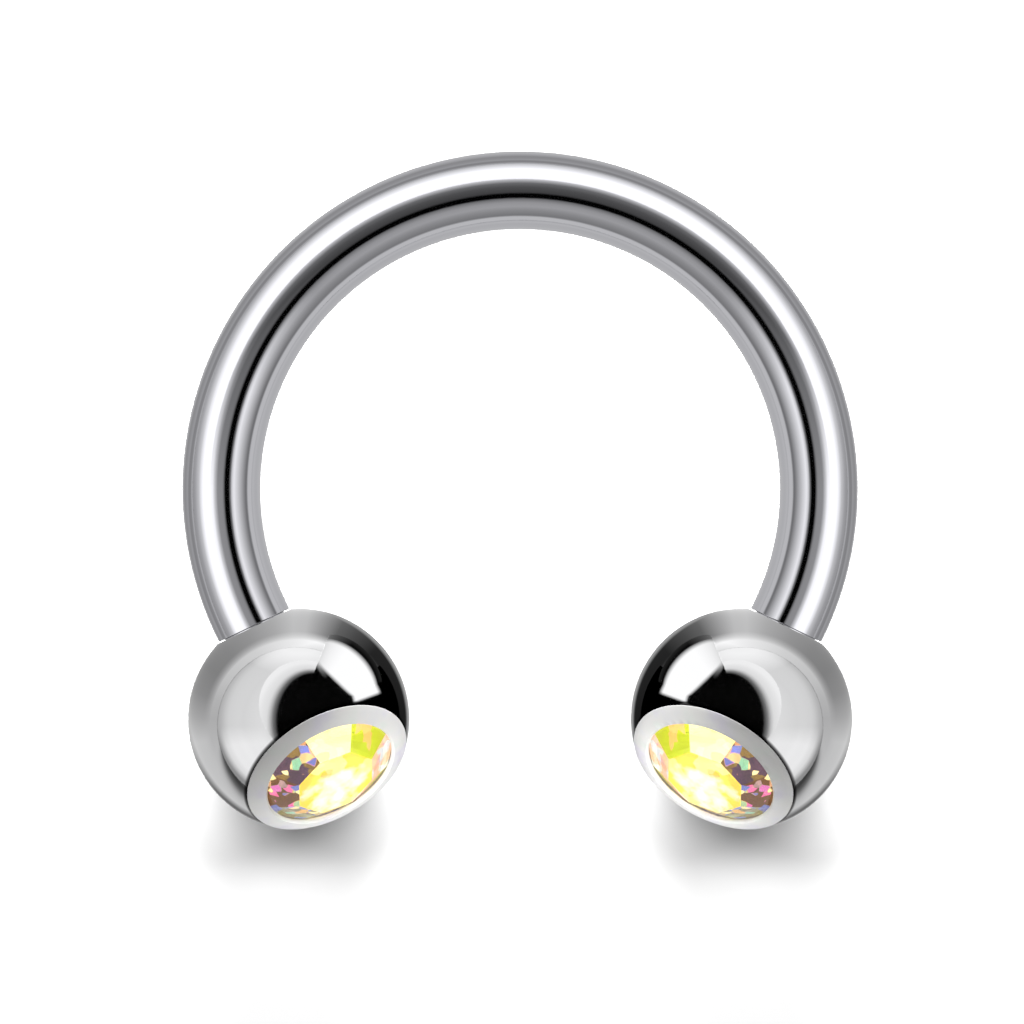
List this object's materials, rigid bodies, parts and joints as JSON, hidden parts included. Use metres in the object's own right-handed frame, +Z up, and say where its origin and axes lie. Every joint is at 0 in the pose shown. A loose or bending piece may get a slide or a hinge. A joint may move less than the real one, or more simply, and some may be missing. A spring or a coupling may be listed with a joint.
{
  "type": "horseshoe barbell",
  "caption": "Open round ring of polished steel wire, with a screw-on ball at each end and a faceted crystal stone set in each ball.",
  "frame": {"origin": "middle of the overall box in X and Y, on the floor that the part lies on", "axes": "+X to the right, +Y from the balls to the top of the arc, +Z up from the floor"},
  "size_m": [0.0104, 0.0104, 0.0034],
  "materials": {
    "wire_steel": "mirror-polished surgical steel",
    "ball_steel": "mirror-polished surgical steel, satin rim round the stone",
    "crystal": "cut crystal with a rainbow coating, foiled at the back"
  },
  "bodies": {
    "wire": {"ring_wire": "wire_steel"},
    "left_end": {"left_ball": "ball_steel", "left_gem": "crystal"},
    "right_end": {"right_ball": "ball_steel", "right_gem": "crystal"}
  },
  "joints": [
    {"name": "left_ball_off", "type": "slide", "parent": "wire", "child": "left_end", "axis": [0.4305, -0.8943, 0.122], "range_m": [0, 0.0022]},
    {"name": "right_ball_off", "type": "slide", "parent": "wire", "child": "right_end", "axis": [-0.4305, -0.8943, 0.122], "range_m": [0, 0.0022]}
  ]
}
